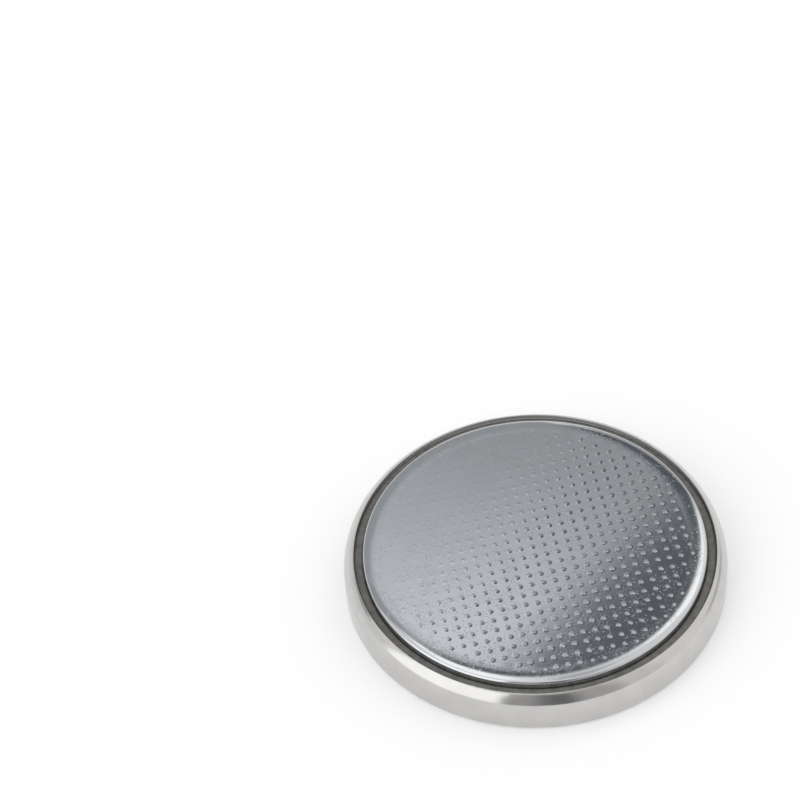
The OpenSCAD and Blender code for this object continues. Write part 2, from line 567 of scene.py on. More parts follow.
@dataclass(frozen=True)
class CanSteel(Finish):
    """Drawn steel of the can: orange peel on the crimp, upright draw lines on the wall.

    Attributes:
        peel: Size and height of the orange peel.
        draw: Width and height of the draw lines.
        rolling: Width and height of the rolling grain on the flat face.
        fine: Size and height of the fine grain everywhere.
        face_z: Heights between which the flat face ends.
        face_r: Radii between which it ends.
        wall_r: Radii between which the wall starts.
        wall_z: The wall's lower and upper end, and half the width of its soft ends.
        cloudy: Size of the faint clouds.
        rough: Roughness added by clouds, wall, plus sign, flat face and cut face.
        cut: Inner and outer radius of the lip's cut face.
        cut_colour: Colour of that face.
        mark_colour: Colour of the plus sign's floor.
    """

    peel: tuple[float, float] = (0.9, 0.006)
    draw: tuple[float, float] = (0.09, 0.0006)
    rolling: tuple[float, float] = (0.06, 0.0003)
    fine: tuple[float, float] = (0.06, 0.00025)
    face_z: tuple[float, float] = (0.03, 0.08)
    face_r: tuple[float, float] = (9.6, 9.8)
    wall_r: tuple[float, float] = (9.85, 9.97)
    wall_z: tuple[float, float, float] = (0.2, 1.35, 0.15)
    cloudy: float = 1.1
    rough: tuple[float, float, float, float, float] = (0.05, 0.05, 0.28, 0.04, 0.15)
    cut: tuple[float, float] = (9.355, 9.43)
    cut_colour: Colour = (0.36, 0.36, 0.35)
    mark_colour: Colour = (0.3, 0.29, 0.28)

    @staticmethod
    def plus(x: Wire, y: Wire) -> Wire:
        """1 within the plus sign's two strokes."""

        def within(part: Wire, width: float) -> Wire:
            return 1 - abs(part).rise(width / 2 - 0.01, width / 2 + 0.01)

        level = within(x, MARK.span) * within(y, MARK.width)
        return level.over(within(x, MARK.width) * within(y, MARK.span))

    def pattern(self, board: Board, place: Wire) -> tuple[Wire, Wire, Wire]:
        """Steel whose grain depends on the face it is on; see Finish."""
        x, y, z = board.split(place)
        radius = (x * x + y * y) ** 0.5
        flat = (1 - z.rise(*self.face_z)) * (1 - radius.rise(*self.face_r))
        wall = radius.rise(*self.wall_r) * z.between(*self.wall_z)
        fine = board.noise(place, self.fine[0], 2.0) * self.fine[1]
        peel = board.noise(place, self.peel[0], 3.0, 0.5) * self.peel[1]
        upright, level = (board.stretched(place, by) for by in ((1, 1, 0.06), (1, 0.03, 1)))
        draw = board.noise(upright, self.draw[0]) * self.draw[1]
        rolling = board.noise(level, self.rolling[0]) * self.rolling[1]
        relief = fine + peel * (1 - flat) + draw * wall + rolling * flat
        mark = self.plus(x, y - MARK.y) * flat
        cloud = board.noise(place, self.cloudy)
        raw = radius.between(*self.cut, 0.015) * z.rise(1.9, 2.0)
        colour = self.toned(board, cloud, 0.96, 1.03)
        colour = board.mixed(mark * 0.6, colour, self.mark_colour)
        colour = board.mixed(raw, colour, self.cut_colour)
        roughness = self.roughness
        for share, part in zip(self.rough, (cloud, wall, mark, flat, raw)):
            roughness = roughness + share * part
        return colour, roughness, relief


@dataclass(frozen=True)
class MouldedPlastic(Finish):
    """Dark moulded plastic of the gasket, with a faint pressed grain."""

    def pattern(self, board: Board, place: Wire) -> tuple[Wire, Wire, Wire]:
        """Plastic with soft blotches; see Finish."""
        cloud = board.noise(place, 0.5)
        grain = board.noise(place, 0.08, 2.0)
        colour = self.toned(board, cloud, 0.8, 1.25)
        return colour, self.roughness + 0.1 * grain, cloud * 0.002 + grain * 0.0006


@dataclass(frozen=True)
class DullSteel(Finish):
    """Grey expanded steel of the collector, with rub marks along its strands."""

    def pattern(self, board: Board, place: Wire) -> tuple[Wire, Wire, Wire]:
        """Steel with streaks along X; see Finish."""
        streak = board.noise(board.stretched(place, (0.15, 1, 1)), 0.12, 4.0)
        colour = self.toned(board, streak, 0.8, 1.15)
        return colour, self.roughness + 0.15 * streak, streak * 0.002


@dataclass(frozen=True)
class PressedPowder(Finish):
    """Black pressed powder of the pellet, with paler grains in it."""

    def pattern(self, board: Board, place: Wire) -> tuple[Wire, Wire, Wire]:
        """Powder with scattered grains; see Finish."""
        grains = board.cells(place, 0.11)
        lumps = board.noise(place, 0.35, 4.0, 0.7)
        pale = (1 - grains.rise(0.1, 0.3)) * lumps.rise(0.45, 0.6)
        colour = board.mixed(pale, self.colour, (0.12, 0.12, 0.13))
        return colour, self.roughness - 0.2 * pale, lumps * 0.012 + grains * 0.006


@dataclass(frozen=True)
class SoakedFelt(Finish):
    """White felt of the separator, with fibres that lie in two ways."""

    def pattern(self, board: Board, place: Wire) -> tuple[Wire, Wire, Wire]:
        """Fibres as noise drawn out along two diagonals; see Finish."""
        x, y, z = board.split(place)
        one = board.joined(x + y, (x - y) * 0.08, z)
        other = board.joined((x + y) * 0.08, x - y, z)
        fibres = board.noise(one, 0.09, 2.0).over(board.noise(other, 0.09, 2.0))
        lit = fibres.rise(0.45, 0.7)
        colour = board.mixed(lit, tuple(0.82 * part for part in self.colour), self.colour)
        return colour, self.roughness - 0.1 * lit, fibres * 0.012


@dataclass(frozen=True)
class LithiumFoil(Finish):
    """Soft lithium foil, with a roller's lines and dull patches."""

    def pattern(self, board: Board, place: Wire) -> tuple[Wire, Wire, Wire]:
        """Foil whose patches are greyer and rougher; see Finish."""
        rolled = board.noise(board.stretched(place, (1, 0.04, 1)), 0.1)
        dull = board.noise(place, 2.2, 4.0, 0.65).rise(0.45, 0.65)
        colour = board.mixed(dull, self.colour, (0.42, 0.42, 0.44))
        return colour, self.roughness + 0.25 * dull, rolled * 0.003


CAP_STEEL = CapSteel("cap_bright_steel", (0.575, 0.585, 0.6), 1.0, 0.065)
CAN_STEEL = CanSteel("can_drawn_steel", (0.575, 0.565, 0.552), 1.0, 0.11)
GASKET_PLASTIC = MouldedPlastic("gasket_moulded_plastic", (0.155, 0.148, 0.135), 0.0, 0.42)
MESH_STEEL = DullSteel("collector_expanded_steel", (0.5, 0.51, 0.52), 1.0, 0.38)
PELLET_POWDER = PressedPowder("pellet_pressed_powder", (0.018, 0.018, 0.02), 0.0, 0.85)
SEPARATOR_FELT = SoakedFelt("separator_felt", (0.86, 0.85, 0.82), 0.0, 0.9)
LITHIUM_FOIL = LithiumFoil("lithium_foil", (0.72, 0.73, 0.74), 1.0, 0.32)


# Sizes


@dataclass(frozen=True)
class CellSizes:
    """The cell's sizes in millimetres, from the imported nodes' boxes where they give them.

    Attributes:
        can_r: Outside radius of the can.
        can_inner_r: Inside radius of the can.
        can_wall: Thickness of the can's steel.
        lip_z: Height of the crimp's lip.
        gasket_top: Height of the gasket.
        skirt_r: Outside radius of the cap's skirt.
        skirt_z: Height of the skirt's lower end.
        top_z: Height of the bump tops.
        cap_wall: Thickness of the cap's steel.
        corner_r: Outside radius of the can's lower corner.
        crimp_r: Outside radius of the crimp.
        crimp_turn: Angle of the crimp, in degrees.
        groove_w: Width of the groove between lip and cap.
        brow_w: Width of the cap's brow.
        brow_r: Outside radius in which the brow falls.
        shoulder_r: Outside radius of the cap's shoulder.
        step_drop: Height from the cap's step to its plate.
        bend_r: Outside radius of the bend to the skirt.
        step_corner_r: Radius in the corner on the step.
        bump_h: Height of the tallest bump.
        inner_wall: Thickness of the gasket's inner wall.
        inner_wall_h: Height of that wall above the foot.
        gasket_edge_r: Radius on the gasket's top edge.
    """

    can_r: float
    can_inner_r: float
    can_wall: float
    lip_z: float
    gasket_top: float
    skirt_r: float
    skirt_z: float
    top_z: float
    cap_wall: float = 0.25
    corner_r: float = 0.25
    crimp_r: float = 1.1
    crimp_turn: float = 60.0
    groove_w: float = 0.5
    brow_w: float = 0.45
    brow_r: float = 1.2
    shoulder_r: float = 0.16
    step_drop: float = 0.8
    bend_r: float = 0.28
    step_corner_r: float = 0.1
    bump_h: float = 0.03
    inner_wall: float = 0.25
    inner_wall_h: float = 0.5
    gasket_edge_r: float = 0.12

    @classmethod
    def from_frame(cls) -> "CellSizes":
        """Reads the boxes of the can, the gasket and the cap, to a micrometre."""

        def read(node: str) -> tuple[np.ndarray, np.ndarray]:
            low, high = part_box(node)
            return np.round(np.array(low) / MM, 3), np.round(np.array(high) / MM, 3)

        (_, can_high) = read("positive_can")
        gasket_low, gasket_high = read("sealing_gasket")
        cap_low, cap_high = read("negative_cap")
        return cls(
            can_r=can_high[0],
            can_inner_r=gasket_high[0],
            can_wall=gasket_low[2],
            lip_z=can_high[2],
            gasket_top=gasket_high[2],
            skirt_r=cap_high[0],
            skirt_z=cap_low[2],
            top_z=cap_high[2],
        )

    @property
    def crimp_centre(self) -> tuple[float, float]:
        """Centre of the crimp's arcs."""
        drop = self.crimp_r * np.sin(np.radians(self.crimp_turn))
        return self.can_r - self.crimp_r, self.lip_z - drop

    @property
    def cap_r(self) -> float:
        """Outside radius of the cap's side."""
        lip_r = self.crimp_centre[0] + self.crimp_r * np.cos(np.radians(self.crimp_turn))
        return lip_r - self.groove_w

    @property
    def plate_z(self) -> float:
        """Height of the cap's plate between its bumps."""
        return self.top_z - self.bump_h

    @property
    def flat_r(self) -> float:
        """Radius of the plate's flat part."""
        return self.cap_r - self.brow_w

    @property
    def brow_turn(self) -> float:
        """Angle through which the brow falls, in degrees."""
        reach = self.cap_r - self.shoulder_r - self.flat_r
        return float(np.degrees(np.arcsin(reach / (self.brow_r - self.shoulder_r))))

    @property
    def shoulder_centre(self) -> tuple[float, float]:
        """Centre of the cap's shoulder."""
        rise = (self.brow_r - self.shoulder_r) * np.cos(np.radians(self.brow_turn))
        return self.cap_r - self.shoulder_r, self.plate_z - self.brow_r + rise

    @property
    def step_z(self) -> float:
        """Height of the cap's step."""
        return self.plate_z - self.step_drop

    @property
    def fillet_centre(self) -> tuple[float, float]:
        """Centre of the hollow corner between the cap's side and its step."""
        return self.cap_r + self.step_corner_r, self.step_z + self.step_corner_r

    @property
    def bend_centre(self) -> tuple[float, float]:
        """Centre of the bend from the step to the skirt."""
        return self.skirt_r - self.bend_r, self.step_z - self.bend_r

    @property
    def skirt_inner_r(self) -> float:
        """Inside radius of the cap's skirt."""
        return self.skirt_r - self.cap_wall


# The can


@dataclass
class PositiveCan:
    """The can: a steel cup with a rolled crimp and a plus sign cut in its flat face.

    Attributes:
        sizes: The cell's sizes.
        lip_edge_r: Radius on the lip's two corners.
        turn_steps: Steps round the can.
        clear: How near an even angle may come to a corner's, as a share of a step.
    """

    sizes: CellSizes
    lip_edge_r: float = 0.035
    turn_steps: int = 240
    clear: float = 0.3

    def shell(self) -> Section:
        """The can's section from the edge of the flat face over the lip to the axis.

        The lip's corners are arcs that touch the crimp's arc and the straight cut across
        the steel: their centre lies at the crimp's radius less (or plus) the corner's own,
        turned back by the angle whose sine is the corner's radius over that distance.
        """
        s = self.sizes
        centre_r, centre_z = s.crimp_centre
        inner_r = s.crimp_r - s.can_wall
        edge = self.lip_edge_r
        outer_reach, inner_reach = s.crimp_r - edge, inner_r + edge
        outer_back = np.degrees(np.arcsin(edge / outer_reach))
        inner_back = np.degrees(np.arcsin(edge / inner_reach))

        def at(reach: float, degrees: float) -> tuple[float, float]:
            angle = np.radians(degrees)
            return centre_r + reach * np.cos(angle), centre_z + reach * np.sin(angle)

        top = s.crimp_turn
        outer_corner = at(outer_reach, top - outer_back)
        inner_corner = at(inner_reach, top - inner_back)
        along = np.sqrt(outer_reach**2 - edge**2), np.sqrt(inner_reach**2 - edge**2)
        line = Section()
        low = (s.can_r - s.corner_r, s.corner_r)
        line.arc(low, s.corner_r, -90, 0, 8)
        line.run((s.can_r, s.corner_r), (s.can_r, centre_z))
        line.arc(s.crimp_centre, s.crimp_r, 0, top - outer_back, 20)
        line.arc(outer_corner, edge, top - outer_back, top + 90, 5)
        line.run(at(along[0], top), at(along[1], top))
        line.arc(inner_corner, edge, top + 90, top - inner_back + 180, 5)
        line.arc(s.crimp_centre, inner_r, top - inner_back, 0, 10, Turn.RIGHT)
        line.run(
            (s.can_inner_r, centre_z),
            (s.can_inner_r, s.can_wall),
            (0.0, s.can_wall),
        )
        return line

    @staticmethod
    def mark_outline(ways: np.ndarray) -> np.ndarray:
        """The plus sign's edge as a distance from its middle.

        In each direction a stroke ends at the nearer of its two pairs of sides, which is
        the smaller of half length over cosine and half width over sine, and the plus sign
        ends where the further reaching of its two strokes does.
        """
        cosine, sine = np.abs(np.cos(ways)), np.abs(np.sin(ways))
        cosine, sine = np.maximum(cosine, 1e-12), np.maximum(sine, 1e-12)
        long_half, short_half = MARK.span / 2, MARK.width / 2
        across = np.minimum(long_half / cosine, short_half / sine)
        upright = np.minimum(short_half / cosine, long_half / sine)
        return np.maximum(across, upright)

    def turn_angles(self) -> np.ndarray:
        """Even angles round the axis, and those in line with the plus sign's corners."""
        rim = self.sizes.can_r - self.sizes.corner_r
        a, b = MARK.span / 2, MARK.width / 2
        corners = np.array([(a, b), (b, a), (b, b)])
        signs = np.array([(1, 1), (-1, 1), (-1, -1), (1, -1)])
        ways = (corners[None] * signs[:, None]).reshape(-1, 2)
        ways /= np.linalg.norm(ways, axis=1, keepdims=True)
        lean = ways[:, 1] * MARK.y
        reach = -lean + np.sqrt(lean**2 + rim**2 - MARK.y**2)
        hits = ways * reach[:, None] + np.array([0, MARK.y])
        exact = np.mod(np.arctan2(hits[:, 1], hits[:, 0]), 2 * np.pi)
        even = even_turn(self.turn_steps)
        apart = np.abs(np.angle(np.exp(1j * (even[:, None] - exact[None]))))
        kept = even[apart.min(axis=1) > self.clear * 2 * np.pi / self.turn_steps]
        return np.sort(np.concatenate([kept, exact]))

    def flat_face(self, angles: np.ndarray) -> Surface:
        """The flat face with the plus sign sunk in it.

        Straight lines run from the plus sign's edge to the rim in the direction that the
        rim's point has from the plus sign's middle. The sunk floor is a fan about that
        middle, and the plus sign's upright walls join the two.

        Args:
            angles: The rim's angles.

        Returns:
            The face, its normals down or, on the small walls, across.
        """
        rim_r = self.sizes.can_r - self.sizes.corner_r
        middle = np.array([0, MARK.y, 0])
        rim = np.stack([rim_r * np.cos(angles), rim_r * np.sin(angles), 0 * angles], axis=1)
        ways = np.arctan2(rim[:, 1] - MARK.y, rim[:, 0])
        spokes = np.stack([np.cos(ways), np.sin(ways), 0 * ways], axis=1)
        edge = middle + spokes * self.mark_outline(ways)[:, None]
        sunk = edge + np.array([0, 0, MARK.depth])
        floor_middle = np.broadcast_to(middle + np.array([0, 0, MARK.depth]), edge.shape)
        face = np.stack([edge, after(edge), after(rim), rim], axis=1)
        wall = np.stack([edge, sunk, after(sunk), after(edge)], axis=1)
        floor = np.stack([floor_middle, after(sunk), sunk], axis=1)
        down = np.array([0, 0, -1.0])
        across = np.cross(wall[:, 1] - wall[:, 0], wall[:, 3] - wall[:, 0])
        across /= np.linalg.norm(across, axis=1, keepdims=True)
        quads = np.concatenate([face, wall])
        leans = [np.broadcast_to(down, face.shape), np.repeat(across[:, None], 4, axis=1)]
        return Surface(
            np.concatenate([quads, np.concatenate(leans)], axis=-1),
            np.concatenate([floor, np.broadcast_to(down, floor.shape)], axis=-1),
        )

    def build(self) -> bpy.types.Object:
        """Makes the can."""
        angles = self.turn_angles()
        surface = self.shell().turned(angles) + self.flat_face(angles)
        return surface.piece("can_shell", CAN_STEEL, Slot.CAN, "positive_can")


# The gasket


@dataclass
class SealingGasket:
    """The gasket: one ring that fills what the cap leaves free inside the can.

    Attributes:
        sizes: The cell's sizes.
        turn_steps: Steps round the ring.
    """

    sizes: CellSizes
    turn_steps: int = 200

    def ring(self) -> Section:
        """The ring's closed section, from its foot up the can and down along the cap."""
        s = self.sizes
        centre_r, centre_z = s.crimp_centre
        inner_arc = s.crimp_r - s.can_wall
        top = np.degrees(np.arcsin((s.gasket_top - centre_z) / inner_arc))
        top_r = centre_r + inner_arc * np.cos(np.radians(top))
        edge = (s.cap_r + s.gasket_edge_r, s.gasket_top - s.gasket_edge_r)
        inner_r = s.skirt_inner_r - s.inner_wall
        wall_top = s.skirt_z + s.inner_wall_h
        line = Section()
        line.run(
            (inner_r, s.can_wall),
            (s.can_inner_r, s.can_wall),
            (s.can_inner_r, centre_z),
        )
        line.arc(s.crimp_centre, inner_arc, 0, top, 10)
        line.run((top_r, s.gasket_top), (edge[0], s.gasket_top))
        line.arc(edge, s.gasket_edge_r, 90, 180, 8)
        line.run((s.cap_r, edge[1]), (s.cap_r, s.fillet_centre[1]))
        line.arc(s.fillet_centre, s.step_corner_r, 180, 270, 4)
        line.run((s.fillet_centre[0], s.step_z), (s.bend_centre[0], s.step_z))
        line.arc(s.bend_centre, s.bend_r, 90, 0, 6, Turn.RIGHT)
        line.run(
            (s.skirt_r, s.bend_centre[1]),
            (s.skirt_r, s.skirt_z),
            (s.skirt_inner_r, s.skirt_z),
            (s.skirt_inner_r, wall_top),
            (inner_r, wall_top),
            (inner_r, s.can_wall),
        )
        return line

    def build(self) -> bpy.types.Object:
        """Makes the gasket."""
        surface = self.ring().turned(even_turn(self.turn_steps))
        return surface.piece("gasket_ring", GASKET_PLASTIC, Slot.GASKET, "sealing_gasket")


# The cap


@dataclass
class NegativeCap:
    """The cap: one pressed sheet with bumps on its plate, a brow, a shoulder and a skirt.

    Attributes:
        sizes: The cell's sizes.
        foot_r: Radius of a bump's foot.
        tall: Height of the tallest bump, which is less than the solid's stud.
        dome: Slope of the slightly domed plate where its fall starts.
        faint: Slants between which the bumps grow, and their least share.
        pattern_r: Radius within which whole cells of the pattern lie.
        fall_end_r: Radius where the plate's gentle fall meets the brow.
        seam_r: Radius where the pattern's outer ring meets the turned brow.
        collar_rs: Radii of the collar's lines between the pattern and the seam.
        side_steps: Steps on a cell's side.
        rings: Radii of a bump's rings, as a share of its own.
        sizes_drawn: Least and most share of the foot's radius that a bump gets.
        heights_drawn: Least and most share of the height that it gets.
        stretch: Most that its foot is stretched, as a share.
        shift: Most that it stands off its place, along each axis.
    """

    sizes: CellSizes
    foot_r: float = 0.22
    tall: float = 0.007
    dome: float = 0.0027
    faint: tuple[float, float, float] = (-5.0, 1.0, 0.08)
    pattern_r: float = 8.4
    fall_end_r: float = 8.62
    seam_r: float = 8.7
    collar_rs: tuple[float, ...] = (8.32, 8.42, 8.52, 8.62)
    side_steps: int = 2
    rings: tuple[float, ...] = (0.28, 0.5, 0.75, 1.0)
    sizes_drawn: tuple[float, float] = (0.92, 1.0)
    heights_drawn: tuple[float, float] = (0.75, 1.0)
    stretch: float = 0.04
    shift: float = 0.012

    def brow(self, points: np.ndarray) -> tuple[np.ndarray, np.ndarray]:
        """Height and slope of the plate without its bumps.

        The brow is an arc: centre height plus the root of the brow's radius squared less
        the distance past the flat squared. The plate inside it stands as high as the
        tallest bump leaves it. Its middle is domed, with a slope that grows evenly from the
        axis, and then its slope grows faster until it meets the brow's height and slope.

        Args:
            points: Places, x and y last.

        Returns:
            The heights, and the slopes along x and y.
        """
        s = self.sizes
        radius = np.linalg.norm(points, axis=-1)
        top = s.top_z - self.tall
        end = self.fall_end_r
        end_root = np.sqrt(s.brow_r**2 - (end - s.flat_r) ** 2)
        steep = (end - s.flat_r) / end_root
        end_z = s.plate_z - s.brow_r + end_root
        start = ((self.dome + steep) * end - 2 * (top - end_z)) / steep
        width = end - start
        fallen = np.maximum(radius - start, 0)
        past = np.maximum(radius - s.flat_r, 0)
        root = np.sqrt(s.brow_r**2 - past**2)
        domed = self.dome * np.minimum(radius, start)
        height = top - domed * np.minimum(radius, start) / (2 * start)
        height = height - self.dome * fallen - (steep - self.dome) * fallen**2 / (2 * width)
        fall = domed / start + (steep - self.dome) * fallen / width
        on_brow = radius > end
        height = np.where(on_brow, s.plate_z - s.brow_r + root, height)
        fall = np.where(on_brow, past / root, fall)
        slope = (-fall / np.maximum(radius, TINY))[..., None] * points
        return height, slope

    def cell_places(self) -> tuple[np.ndarray, np.ndarray]:
        """Columns and rows of the cells that lie whole on the plate, and their middles."""
        reach = int(np.ceil(self.pattern_r / ROWS.pitch)) + 1
        steps = np.arange(-reach, reach + 1)
        index = np.stack(np.meshgrid(steps, steps, indexing="ij"), axis=-1).reshape(-1, 2)
        middles = (index + np.array(ROWS.start)) * ROWS.pitch
        furthest = np.linalg.norm(np.abs(middles) + ROWS.pitch / 2, axis=1)
        kept = furthest < self.pattern_r
        return index[kept], middles[kept]

    @staticmethod
    def rotation() -> np.ndarray:
        """The turn of the rows, as a matrix for points in rows."""
        angle = np.radians(ROWS.turn)
        return np.array([[np.cos(angle), np.sin(angle)], [-np.sin(angle), np.cos(angle)]])

    def cell_edge(self) -> np.ndarray:
        """Points round a cell's square edge, from its middle, counterclockwise."""
        steps = np.linspace(-0.5, 0.5, self.side_steps + 1)[:-1]
        half = np.full_like(steps, 0.5)
        sides = [(half, steps), (-steps, half), (-half, -steps), (steps, -half)]
        return np.concatenate([np.stack(side, axis=1) for side in sides]) * ROWS.pitch

    def relief(self) -> tuple[Surface, np.ndarray]:
        """The plate's cells, each with its own slightly uneven bump.

        A bump's height is its tallest times the fourth power of (1 - q), where q is the
        squared distance from its middle in a frame that makes its foot a circle of radius
        1. Its foot is a circle stretched a little in one direction. Slopes come from the
        same formula, and add to those of the plate. The press left the bumps faint on one
        side of the plate, where the slant is small.

        Returns:
            The surface, and the pattern's outer edge as points sorted by their angle.
        """
        draws = np.random.default_rng(SEED)
        index, middles = self.cell_places()
        count = len(middles)
        size = self.foot_r * draws.uniform(*self.sizes_drawn, count)
        tall = self.tall * draws.uniform(*self.heights_drawn, count)
        stretch = draws.uniform(-self.stretch, self.stretch, count)
        lean = draws.uniform(0, np.pi, count)
        shift = draws.uniform(-self.shift, self.shift, (count, 2))
        tall = np.where(np.linalg.norm(middles, axis=1) < ROWS.field_r, tall, 0)
        x, y = (middles @ self.rotation()).T
        slant = np.maximum(ROWS.slant[0] * x - ROWS.slant[1] * y, x - ROWS.lead)
        low, high, least = self.faint
        grown = np.clip((slant - low) / (high - low), 0, 1)
        tall = tall * (least + (1 - least) * grown**2 * (3 - 2 * grown))
        spin = np.stack([np.cos(lean), np.sin(lean), -np.sin(lean), np.cos(lean)], axis=1)
        spin = spin.reshape(-1, 2, 2)
        axes = np.stack([size * (1 + stretch), size * (1 - stretch)], axis=1)
        foot = np.einsum("nki,nk,nkj->nij", spin, axes, spin)
        unfoot = np.linalg.inv(foot)

        edge = self.cell_edge()
        around = np.arctan2(edge[:, 1], edge[:, 0])
        spokes = np.stack([np.cos(around), np.sin(around)], axis=1)
        shares = np.concatenate([[0.0], self.rings])
        circles = shares[:, None, None] * spokes[None]
        inner = np.einsum("nij,lkj->nlki", foot, circles) + shift[:, None, None]
        outer = np.broadcast_to(edge, (count, 1) + edge.shape)
        flat = np.concatenate([inner, outer], axis=1) + middles[:, None, None]

        q = np.concatenate([shares**2, [1.0]])[None, :, None]
        height = tall[:, None, None] * (1 - q) ** 4 * np.ones(flat.shape[:3])
        pull = np.einsum("nij,lkj->nlki", unfoot, circles)
        pull = np.concatenate([pull, np.zeros_like(pull[:, :1])], axis=1)
        slope = (-8 * tall[:, None, None] * (1 - q) ** 3)[..., None] * pull

        flat, slope = flat @ self.rotation(), slope @ self.rotation()
        base, base_slope = self.brow(flat)
        normals = self.upright(base_slope + slope)
        corners = np.concatenate([flat, (base + height)[..., None], normals], axis=-1)

        def quads(grid: np.ndarray) -> np.ndarray:
            near, far = grid[:, 1:-1], grid[:, 2:]
            turned = (near, far, np.roll(far, -1, 2), np.roll(near, -1, 2))
            return np.stack(turned, axis=3).reshape(-1, 4, 6)

        def fans(grid: np.ndarray) -> np.ndarray:
            turned = (grid[:, 0], grid[:, 1], np.roll(grid[:, 1], -1, 1))
            return np.stack(turned, axis=2).reshape(-1, 3, 6)

        surface = Surface(quads(corners), fans(corners))
        return surface, self.outer_edge(index, corners[:, -1, :, :3])

    @staticmethod
    def upright(slope: np.ndarray) -> np.ndarray:
        """Unit normals of a surface that rises by these slopes along x and y."""
        normals = np.concatenate([-slope, np.ones_like(slope[..., :1])], axis=-1)
        return normals / np.linalg.norm(normals, axis=-1, keepdims=True)

    def outer_edge(self, index: np.ndarray, edges: np.ndarray) -> np.ndarray:
        """The sides that no neighbouring cell shares, as points sorted by their angle.

        Args:
            index: Columns and rows of the cells.
            edges: The points round each cell, in the order of cell_edge.

        Returns:
            The points of the pattern's outer edge.
        """
        taken = {tuple(cell) for cell in index.tolist()}
        ways = ((1, 0), (0, 1), (-1, 0), (0, -1))
        open_side = np.array(
            [[(c + dx, r + dy) not in taken for dx, dy in ways] for c, r in index.tolist()]
        )
        closed = np.concatenate([edges, edges[:, :1]], axis=1)
        m = self.side_steps
        sides = np.stack([closed[:, k * m : k * m + m + 1] for k in range(4)], axis=1)
        found = sides[open_side].reshape(-1, 3)
        found = np.unique(np.round(found, WELD_DIGITS), axis=0)
        return found[np.argsort(np.arctan2(found[:, 1], found[:, 0]))]

    def collar(self, edge: np.ndarray) -> Surface:
        """The strips from the pattern's outer edge to the seam, at the same angles.

        The lines between them lie at the collar's radii, or an even share of the way from
        the edge to the seam where that is further out.
        """
        reach = np.linalg.norm(edge[:, :2], axis=1, keepdims=True)
        shares = np.arange(1, len(self.collar_rs) + 1) / (len(self.collar_rs) + 1)
        between = [
            np.maximum(reach + (self.seam_r - reach) * share, radius)
            for share, radius in zip(shares, self.collar_rs)
        ]
        lines = []
        for radius in (reach, *between, np.full_like(reach, self.seam_r)):
            flat = edge[:, :2] / reach * radius
            height, slope = self.brow(flat)
            lines.append(np.concatenate([flat, height[:, None], self.upright(slope)], axis=1))
        lines[0][:, :3] = edge
        strips = [
            np.stack([near, far, after(far), after(near)], axis=1)
            for near, far in zip(lines[:-1], lines[1:])
        ]
        return Surface(np.concatenate(strips))

    def side(self) -> Section:
        """The cap's section from the axis under the plate, round the skirt, to the seam."""
        s = self.sizes
        wall = s.cap_wall
        brow_centre = (s.flat_r, s.plate_z - s.brow_r)
        start = 90 - s.brow_turn
        inner_end = np.degrees(np.arccos((s.cap_r - wall - s.flat_r) / (s.brow_r - wall)))
        corner_z = brow_centre[1] + (s.brow_r - wall) * np.sin(np.radians(inner_end))
        seam = np.degrees(np.arccos((self.seam_r - s.flat_r) / s.brow_r))
        bend_inner = s.bend_r - wall
        line = Section()
        line.run((0.0, s.plate_z - wall), (s.flat_r, s.plate_z - wall))
        line.arc(brow_centre, s.brow_r - wall, 90, inner_end, 4, Turn.RIGHT)
        line.run(
            (s.cap_r - wall, corner_z),
            (s.cap_r - wall, s.fillet_centre[1]),
        )
        line.arc(s.fillet_centre, s.step_corner_r + wall, 180, 270, 6)
        line.run(
            (s.fillet_centre[0], s.step_z - wall),
            (s.bend_centre[0], s.step_z - wall),
        )
        line.arc(s.bend_centre, bend_inner, 90, 0, 3, Turn.RIGHT)
        line.run(
            (s.skirt_inner_r, s.bend_centre[1]),
            (s.skirt_inner_r, s.skirt_z),
            (s.skirt_r, s.skirt_z),
            (s.skirt_r, s.bend_centre[1]),
        )
        line.arc(s.bend_centre, s.bend_r, 0, 90, 6)
        line.run((s.bend_centre[0], s.step_z), (s.fillet_centre[0], s.step_z))
        line.arc(s.fillet_centre, s.step_corner_r, 270, 180, 4, Turn.RIGHT)
        line.run((s.cap_r, s.fillet_centre[1]), (s.cap_r, s.shoulder_centre[1]))
        line.arc(s.shoulder_centre, s.shoulder_r, 0, start, 10)
        line.arc(brow_centre, s.brow_r, start, seam, 6)
        return line

    def build(self) -> bpy.types.Object:
        """Makes the cap."""
        plate, edge = self.relief()
        angles = np.arctan2(edge[:, 1], edge[:, 0])
        surface = plate + self.collar(edge) + self.side().turned(angles)
        return surface.piece("cap_shell", CAP_STEEL, Slot.CAP, "negative_cap")


# What is inside


@dataclass(frozen=True)
class InnerStack:
    """The discs inside the sealed cell, which keep their own meshes and get a finish each."""

    finishes: tuple[tuple[str, Finish, Slot], ...] = (
        ("cathode_collector", MESH_STEEL, Slot.MESH),
        ("cathode_pellet", PELLET_POWDER, Slot.PELLET),
        ("separator", SEPARATOR_FELT, Slot.FELT),
        ("lithium_anode", LITHIUM_FOIL, Slot.LITHIUM),
    )

    def dress(self) -> None:
        """Gives each disc its finish."""
        for node, finish, slot in self.finishes:
            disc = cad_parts[node]
            disc.data.materials.clear()
            disc.data.materials.append(finish.material())
            LOG.info("%s: dressed in %s", node, finish.name)


# The studio


